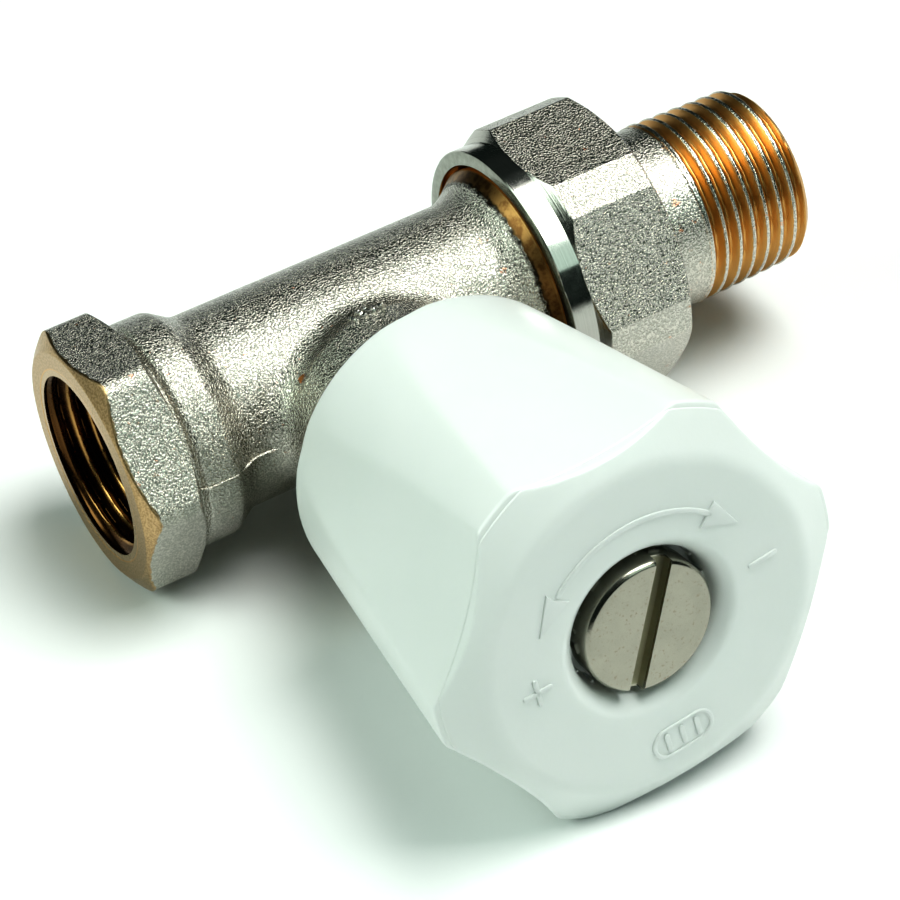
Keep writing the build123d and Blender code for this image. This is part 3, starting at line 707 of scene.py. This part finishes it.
def make_inlet_thread():
    """Cut thread inside the inlet port, as a ring that lines the bore."""
    full = np.ones_like(THREAD_TURN)
    ring = [(10.47, BORE_DEPTH), (10.47, 0.27), (10.70, 0.02), (10.3, 0.02)]
    rows = [(full * r, full * x) for r, x in ring]
    for x in np.arange(0.02, BORE_DEPTH, 0.09):
        cut = tooth((x - THREAD_TURN / tau * PITCH) / PITCH, 0.06)
        fade = np.clip((x - 0.3) / 1.2, 0, 1) * np.clip((BORE_DEPTH - x) / 0.8, 0, 1)
        countersink = 10.03 + (x - 0.02) * 0.6
        rows.append((np.minimum(10.36 - cut * fade, countersink), full * x))
    points = np.stack([on_pipe(r, x, THREAD_TURN) for r, x in rows])
    return link("inlet_thread_ring", mesh_of("inlet_thread_ring", points.reshape(-1, 3), skin(points)),
                "valve", sharp=38.0)


# ---------------------------------------------------------------- union nut

NUT_TURN = radians(-7.0)


def nut_field(r, x, angle):
    """Below zero inside the nut's outline: hexagon with cut corners, chamfers and a turned skirt."""
    flats = [r * np.cos(angle - NUT_TURN - radians(30 + 60 * k)) - NUT_FLATS_R for k in range(6)]
    corners = [r * np.cos(angle - NUT_TURN - radians(60 * k)) - NUT_CORNERS_R for k in range(6)]
    front = (r - SKIRT_R - np.maximum(x - SKIRT_END, 0) / NUT_FLARE) * 0.625
    back = (r - NUT_FLATS_R) * 0.5 + (x - NUT_END) * 0.866
    return smooth_max([np.max(flats, 0), np.max(corners, 0), front, back], 0.05)


def make_union_nut():
    """Union nut: turned skirt, blasted hexagon and a threaded bore."""
    cut_edge = 7.28  # degrees between a corner and each edge of its cut, where a column has to fall
    parts = [(-30, -cut_edge, 28), (-cut_edge, cut_edge, 18), (cut_edge, 30, 28)]
    sixth = np.concatenate([np.linspace(a, b, count, endpoint=False) for a, b, count in parts])
    angle = np.concatenate([NUT_TURN + np.radians(sixth + 60 * k) for k in range(6)])
    full = np.ones_like(angle)

    def outline(x):
        """Radius of the outside at a station."""
        return 12.0 + cast(nut_field, (full * 12.0, full * x), (1.0, 0.0), angle, 8.0)

    rows = [(full * r, full * SKIRT_START) for r in (NUT_BORE_R, 14.4, 15.05)]
    rows += [(np.minimum(15.22, outline(50.5)), full * (SKIRT_START + 0.04))]
    stations = np.concatenate([(50.45, 50.6, 51.2, 51.9, 52.5, 52.8, 52.95), np.arange(SKIRT_END, 55.0, 0.07),
                               np.linspace(55.2, 62.4, 14), np.arange(62.6, NUT_END, 0.10)])
    rows += [(outline(x), full * x) for x in stations]
    ring = [(r, NUT_END) for r in (15.2, 14.0, 12.4, 11.1)]
    ring += [(10.78, 64.4), (10.7, 64.2), (10.7, 62.6), (10.8, 62.5), (13.6, 62.5), (13.6, 59.6)]
    rows += [(full * r, full * x) for r, x in ring]
    for x in np.arange(59.5, 50.4, -0.12):
        cut = tooth((x - angle / tau * PITCH) / PITCH, 0.12)
        rows.append((13.28 + 0.42 * (1 - cut) * np.clip((59.5 - x) / 0.6, 0, 1), full * x))

    points = np.stack([on_pipe(r, x, angle) for r, x in rows])
    nut = link("union_nut_hexagon", mesh_of("union_nut_hexagon", points.reshape(-1, 3), skin(points)),
               "nut", sharp=16.0)
    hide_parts("union_nut")
    return nut


# ---------------------------------------------------------------- forging details on the body

def ridge(name, path, width, height, seed, gaps=0.0):
    """A broken, uneven bead on the body, along a path of points and outward directions."""
    random = np.random.default_rng(seed)
    path = [(Vector(p), Vector(n).normalized()) for p, n in path]
    fine = []
    for (p, n), (q, m) in zip(path, path[1:]):
        steps = max(2, int((q - p).length / 0.12))
        fine += [(p.lerp(q, t / steps), n.lerp(m, t / steps).normalized()) for t in range(steps)]
    fine.append(path[-1])
    level = np.convolve(random.uniform(-1, 1, len(fine) + 8), np.ones(9) / 9, "valid")
    level = np.clip(0.75 + 1.6 * level - gaps, 0.05, 1.25)
    level[0] = level[-1] = 0.0
    points, faces, around = [], [], 7
    for i, (p, n) in enumerate(fine):
        ahead = fine[min(i + 1, len(fine) - 1)][0] - fine[max(i - 1, 0)][0]
        side = ahead.cross(n).normalized()
        for k in range(around):
            a = tau / 2 * k / (around - 1)
            wide = width / 2 * (0.55 + 0.45 * min(1.0, level[i]))
            sunk = 0.12 if k in (0, around - 1) else 0.0
            points.append(p + side * (wide * cos(a)) + n * (height * level[i] * sin(a) - sunk))
    for i in range(len(fine) - 1):
        for k in range(around):
            j = (k + 1) % around
            faces.append([i * around + k, i * around + j, (i + 1) * around + j, (i + 1) * around + k])
    faces.append(list(range(around)))
    faces.append([(len(fine) - 1) * around + k for k in range(around)])
    return link(name, mesh_of(name, [tuple(p) for p in points], faces), "valve", sharp=60.0)


def make_flash():
    """Trimmed forging flash, where the two dies met, at z = 0."""
    front = [((6.95, -11.95), (0.2, -1)), ((7.5, -12.3), (-0.6, -1)), ((8.4, -12.5), (0, -1)),
             ((11.2, -12.45), (0.2, -1)), ((12.5, -11.65), (0.5, -1)), ((14.0, -10.95), (0.3, -1)),
             ((15.6, -10.8), (0, -1)), ((17.0, -11.1), (-0.4, -1)), ((18.0, -12.0), (-0.8, -0.8)),
             ((18.15, -13.0), (-1, -0.2)), ((18.2, -19.4), (-1, 0))]
    back = [((8.4, 12.5), (0, 1)), ((11.2, 12.45), (0.2, 1)), ((12.5, 11.65), (0.5, 1)),
            ((14.0, 10.95), (0.3, 1)), ((16.0, 10.8), (0, 1)), ((43.5, 10.8), (0, 1)),
            ((47.5, 11.1), (-0.3, 1))]
    right = [((41.4, -19.4), (1, 0)), ((41.4, -13.4), (1, -0.2)), ((42.0, -11.9), (0.6, -0.9)),
             ((43.2, -11.0), (0.3, -1)), ((44.6, -10.85), (0, -1)), ((47.5, -11.1), (-0.3, -1))]
    front, back, right = ([((*p, 0), (*n, 0)) for p, n in path] for path in (front, back, right))
    return [ridge("forging_flash_inlet", front, 0.36, 0.24, 5, 0.08),
            ridge("forging_flash_back", back, 0.34, 0.18, 8, 0.22),
            ridge("forging_flash_outlet", right, 0.34, 0.18, 11, 0.22)]


def make_casting_mark():
    """Short raised bars on the boss's flare, as a plain casting mark."""
    bars = []
    for number, degrees in enumerate((101, 96, 91, 86)):
        outward = (cos(radians(degrees)), 0, sin(radians(degrees)))
        path = [((SPINDLE_X + r * outward[0], -h, r * outward[2]), outward)
                for r, h in ((10.35, 9.6), (10.95, 10.8), (11.5, 12.4))]
        bars.append(ridge("casting_mark_%d" % (number + 1), path, 0.72, 0.62, 20 + number))
    return bars


# ---------------------------------------------------------------- the pieces

plastic = plastic_material()
brass_turned = turned_material("headwork_brass", (0.86, 0.60, 0.26), (0.58, 0.36, 0.12), "spindle")
steel = turned_material("plated_steel", (0.72, 0.72, 0.70), (0.50, 0.51, 0.50), "spindle", 0.22, 0.36)
rubber = soft_material("seal_rubber", (0.030, 0.030, 0.032), (0.016, 0.016, 0.018), 0.42, 0.60, 0.12)
ptfe = soft_material("packing_ptfe", (0.86, 0.85, 0.81), (0.76, 0.75, 0.70), 0.38, 0.52, 0.2)
body_metal = body_material()
mark_metal = turned_material("casting_mark_nickel", (0.80, 0.78, 0.73), (0.60, 0.585, 0.54), "spindle",
                             0.12, 0.26)

CAD_LOOKS = {
    "valve_body": body_metal, "bonnet": brass_turned, "gland_nut": brass_turned,
    "gland_follower": brass_turned, "spindle": brass_turned, "disc_holder": brass_turned,
    "disc_washer": steel, "disc_screw": steel, "handwheel_washer": steel,
    "bonnet_o_ring": rubber, "tailpiece_o_ring": rubber, "spindle_o_ring_lower": rubber,
    "spindle_o_ring_upper": rubber, "disc_seal": rubber, "packing_ring": ptfe,
}
for name, look in CAD_LOOKS.items():
    for material_slot in nodes[name].material_slots:
        material_slot.material = look

for piece in (make_handwheel(), make_marks(), make_wheel_ribs()):
    dress(piece, plastic)
dress(make_screw(), screw_material())
dress(make_tailpiece(), tail_material())
dress(make_union_nut(), nut_material())
dress(make_inlet_thread(), port_thread_material())
for piece in make_flash():
    dress(piece, body_metal)
for piece in make_casting_mark():
    dress(piece, mark_metal)


# ---------------------------------------------------------------- floor, light and camera

FLOOR_HEIGHT, FLOOR_SLOPE_X, FLOOR_SLOPE_Y = -13.66, -0.03735, 0.10089


def make_floor():
    """Pale table top under the three points that the valve rests on."""
    half = 700.0
    corners = [(x, y, FLOOR_HEIGHT + FLOOR_SLOPE_X * x + FLOOR_SLOPE_Y * y)
               for x, y in ((-half, -half), (half, -half), (half, half), (-half, half))]
    table = bpy.data.objects.new("table_top", mesh_of("table_top", corners, [[0, 1, 2, 3]]))
    bpy.context.scene.collection.objects.link(table)
    s = Shader("table_white", Roughness=0.55)
    dress(table, s.finish(s.mix(s.noise(60.0), (0.93, 0.94, 0.94), (0.915, 0.93, 0.925))))


def make_light(name, place, aim, size, power, colour):
    """A soft box that points at a place, all in millimetres."""
    lamp = bpy.data.lights.new(name, "AREA")
    lamp.shape, lamp.size, lamp.size_y = "RECTANGLE", size[0] * MM, size[1] * MM
    lamp.energy, lamp.color = power, colour
    box = bpy.data.objects.new(name, lamp)
    box.location = Vector(place) * MM
    box.rotation_mode = "QUATERNION"
    box.rotation_quaternion = (Vector(aim) - Vector(place)).to_track_quat("-Z", "Y")
    bpy.context.scene.collection.objects.link(box)


def make_world():
    """Dark sky, a little brighter overhead, that is plain white to the camera."""
    world = bpy.data.worlds.new("studio")
    world.use_nodes = True
    bpy.context.scene.world = world
    tree = world.node_tree
    sky, output = tree.nodes["Background"], tree.nodes["World Output"]
    direction = tree.nodes.new("ShaderNodeTexCoord").outputs["Generated"]
    split = tree.nodes.new("ShaderNodeSeparateXYZ")
    tree.links.new(direction, split.inputs[0])
    ramp = tree.nodes.new("ShaderNodeValToRGB")
    tree.links.new(split.outputs[2], ramp.inputs[0])
    stops = ramp.color_ramp.elements
    stops[0].position, stops[0].color = 0.0, (0.02, 0.03, 0.027, 1)
    stops[1].position, stops[1].color = 1.0, (0.08, 0.10, 0.095, 1)
    for position, colour in ((0.35, (0.025, 0.036, 0.032, 1)), (0.70, (0.04, 0.052, 0.048, 1))):
        stops.new(position).color = colour
    tree.links.new(ramp.outputs[0], sky.inputs[0])
    plain = tree.nodes.new("ShaderNodeBackground")
    plain.inputs[0].default_value = (0.97, 0.98, 0.98, 1)
    plain.inputs[1].default_value = 1.7
    path = tree.nodes.new("ShaderNodeLightPath")
    choose = tree.nodes.new("ShaderNodeMixShader")
    tree.links.new(path.outputs["Is Camera Ray"], choose.inputs[0])
    tree.links.new(sky.outputs[0], choose.inputs[1])
    tree.links.new(plain.outputs[0], choose.inputs[2])
    tree.links.new(choose.outputs[0], output.inputs[0])


def make_camera():
    """Long lens, from the inlet's side of the handwheel and above."""
    azimuth, elevation, roll = radians(-24.04), radians(33.90), radians(10.41)
    look_at, distance = Vector((32.17, -18.80, -3.44)), 372.0
    back = Vector((sin(azimuth) * cos(elevation), -cos(azimuth) * cos(elevation), sin(elevation)))
    data = bpy.data.cameras.new("camera")
    data.sensor_width, data.lens = 36.0, 144.63
    data.clip_start, data.clip_end = 0.01, 20.0
    camera = bpy.data.objects.new("camera", data)
    camera.rotation_mode = "QUATERNION"
    camera.location = (look_at + back * distance) * MM
    camera.rotation_quaternion = (-back).to_track_quat("-Z", "Y") @ Quaternion((0, 0, 1), -roll)
    bpy.context.scene.collection.objects.link(camera)
    bpy.context.scene.camera = camera


make_floor()
make_world()
make_light("key_right", (480, -250, 1050), (30, -20, 0), (900, 760), 16.5, (0.98, 1.0, 0.965))
make_light("front_soft", (440, -860, 700), (30, -20, 0), (600, 800), 2.1, (0.78, 1.0, 0.91))
make_light("fill_left", (-720, 130, 640), (20, -20, 0), (600, 600), 5.2, (0.86, 1.0, 0.90))
make_camera()
view = bpy.context.scene.view_settings
view.view_transform = "Standard"
view.look = "High Contrast"
view.exposure = -0.56
